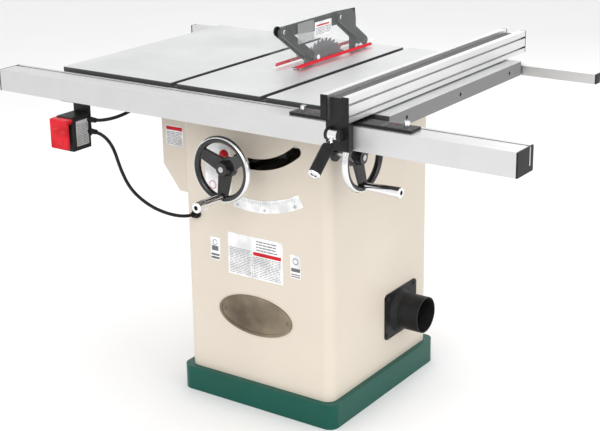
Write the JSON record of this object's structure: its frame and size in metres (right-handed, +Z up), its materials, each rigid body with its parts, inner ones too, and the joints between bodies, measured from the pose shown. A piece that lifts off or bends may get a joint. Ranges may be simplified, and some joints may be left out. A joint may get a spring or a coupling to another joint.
{
  "type": "table saw",
  "caption": "Cabinet table saw with cast iron table and wings, rip fence on a front rail, tilting blade, guard, handwheels, dust port and switch.",
  "frame": {"origin": "centre of the plinth underside, on the floor", "axes": "+X to the right along the front rail, +Y to the back, +Z up"},
  "size_m": [1.538, 1.0322, 1.04],
  "materials": {
    "cream_paint": "satin",
    "green_paint": "satin",
    "cast_iron": "ground",
    "grey_iron": "painted",
    "aluminium": "satin",
    "black_steel": "satin",
    "steel": "brushed",
    "chrome": "polished",
    "black_plastic": "matte",
    "red_plastic": "gloss",
    "green_plastic": "gloss",
    "clear_plastic": "clear",
    "rubber": "matte",
    "white_plate": "printed",
    "bronze_plate": "aged"
  },
  "bodies": {
    "cabinet": {"base_plinth": "green_paint", "cabinet_shell": "cream_paint", "rear_panel": "cream_paint", "motor_cover": "cream_paint", "dust_port": "black_plastic", "dust_tray": "steel", "main_table": "cast_iron", "throat_insert": "aluminium", "left_wing": "cast_iron", "right_wing": "cast_iron", "front_rail": "aluminium", "rear_rail": "aluminium", "rail_caps": "black_plastic", "frame_fasteners": "steel", "rail_mounts": "black_steel", "front_plates": "white_plate", "badge_plate": "bronze_plate", "trunnion_brackets": "grey_iron", "shaft_bearing": "black_steel", "switch_box": "black_plastic", "cord_glands": "rubber", "motor_cord": "rubber", "power_cord": "rubber", "power_cord_coil": "rubber", "power_plug": "rubber"},
    "carriage": {"front_trunnion": "grey_iron", "rear_trunnion": "grey_iron", "carriage_rods": "steel", "guard_spine": "black_steel"},
    "height_drive": {"height_shaft": "steel", "height_wheel": "black_plastic"},
    "height_grip": {"height_handle": "chrome"},
    "tilt_drive": {"tilt_shaft": "steel", "tilt_wheel": "black_plastic"},
    "tilt_grip": {"tilt_handle": "chrome"},
    "arm": {"arbor_arm": "grey_iron", "arbor_bearings": "steel", "drive_belt": "rubber", "motor": "grey_iron"},
    "arbor": {"arbor_shaft": "steel", "saw_blade": "steel", "blade_clamp": "steel", "arbor_pulley": "steel"},
    "motor_rotor": {"motor_pulley": "steel"},
    "left_front_link": {"left_front_link": "black_steel"},
    "left_rear_link": {"left_rear_link": "black_steel"},
    "left_shield": {"left_shield": "clear_plastic"},
    "right_front_link": {"right_front_link": "black_steel"},
    "right_rear_link": {"right_rear_link": "black_steel"},
    "right_shield": {"right_shield": "clear_plastic"},
    "fence": {"fence_beam": "aluminium", "fence_faces": "aluminium", "fence_caps": "black_plastic", "fence_head": "black_steel", "cursor_windows": "clear_plastic", "cursor_knobs": "chrome"},
    "lever": {"fence_lever": "chrome", "fence_grip": "black_plastic"},
    "paddle": {"stop_paddle": "red_plastic"},
    "button": {"start_button": "green_plastic"}
  },
  "joints": [
    {"name": "tilt", "type": "hinge", "parent": "cabinet", "child": "carriage", "pos_m": [-0.006, 0, 0.906], "axis": [0, -1, 0], "range_deg": [0, 45]},
    {"name": "tilt_wheel_turn", "type": "hinge", "parent": "cabinet", "child": "tilt_drive", "pos_m": [0.3, -0.228, 0.75], "axis": [1, 0, 0], "range_deg": [-10, 1800]},
    {"name": "tilt_handle_spin", "type": "hinge", "parent": "tilt_drive", "child": "tilt_grip", "pos_m": [0.312, -0.228, 0.677], "axis": [1, 0, 0], "continuous": true},
    {"name": "lift", "type": "hinge", "parent": "carriage", "child": "arm", "pos_m": [-0.006, -0.05, 0.815], "axis": [1, 0, 0], "range_deg": [-26.2, 8.3]},
    {"name": "height_wheel_turn", "type": "hinge", "parent": "carriage", "child": "height_drive", "pos_m": [-0.036, -0.3, 0.691], "axis": [0, 1, 0], "range_deg": [-1100, 360]},
    {"name": "height_handle_spin", "type": "hinge", "parent": "height_drive", "child": "height_grip", "pos_m": [-0.036, -0.338, 0.618], "axis": [0, 1, 0], "continuous": true},
    {"name": "arbor_spin", "type": "hinge", "parent": "arm", "child": "arbor", "pos_m": [-0.006, 0.086, 0.834], "axis": [1, 0, 0], "continuous": true},
    {"name": "motor_spin", "type": "hinge", "parent": "arm", "child": "motor_rotor", "pos_m": [-0.093, -0.045, 0.71], "axis": [1, 0, 0], "continuous": true},
    {"name": "left_guard_lift", "type": "hinge", "parent": "carriage", "child": "left_front_link", "pos_m": [-0.006, -0.113, 1.011], "axis": [1, 0, 0], "range_deg": [0, 17]},
    {"name": "left_rear_link_turn", "type": "hinge", "parent": "carriage", "child": "left_rear_link", "pos_m": [-0.006, 0.157, 1.008], "axis": [1, 0, 0], "range_deg": [0, 17]},
    {"name": "left_shield_turn", "type": "hinge", "parent": "left_front_link", "child": "left_shield", "pos_m": [-0.006, 0.013, 0.925], "axis": [1, 0, 0], "range_deg": [-17, 0]},
    {"name": "right_guard_lift", "type": "hinge", "parent": "carriage", "child": "right_front_link", "pos_m": [-0.006, -0.113, 1.011], "axis": [1, 0, 0], "range_deg": [0, 32]},
    {"name": "right_rear_link_turn", "type": "hinge", "parent": "carriage", "child": "right_rear_link", "pos_m": [-0.006, 0.157, 1.008], "axis": [1, 0, 0], "range_deg": [0, 33]},
    {"name": "right_shield_turn", "type": "hinge", "parent": "right_front_link", "child": "right_shield", "pos_m": [-0.006, 0.013, 0.925], "axis": [1, 0, 0], "range_deg": [-33, 0]},
    {"name": "fence_slide", "type": "slide", "parent": "cabinet", "child": "fence", "axis": [1, 0, 0], "range_m": [-0.316, 0.232]},
    {"name": "lever_lift", "type": "hinge", "parent": "fence", "child": "lever", "pos_m": [0.4015, -0.483, 0.88], "axis": [1, 0, 0], "range_deg": [-70, 0]},
    {"name": "stop_press", "type": "hinge", "parent": "cabinet", "child": "paddle", "pos_m": [-0.453, -0.4714, 0.7865], "axis": [1, 0, 0], "range_deg": [0, 8], "stiffness_Nm_per_rad": 2},
    {"name": "start_press", "type": "slide", "parent": "cabinet", "child": "button", "axis": [1, 0, 0], "range_m": [0, 0.003], "stiffness_N_per_m": 300}
  ],
  "couplings": [
    {"joint": "tilt_wheel_turn", "follows": "tilt", "ratio": 40},
    {"joint": "height_wheel_turn", "follows": "lift", "ratio": 40},
    {"joint": "motor_spin", "follows": "arbor_spin", "ratio": 0.8936},
    {"joint": "left_guard_lift", "follows": "tilt", "ratio": 0.3556},
    {"joint": "left_rear_link_turn", "follows": "tilt", "ratio": 0.3556},
    {"joint": "left_shield_turn", "follows": "tilt", "ratio": -0.3556},
    {"joint": "right_rear_link_turn", "follows": "right_guard_lift", "ratio": 1},
    {"joint": "right_shield_turn", "follows": "right_guard_lift", "ratio": -1}
  ]
}
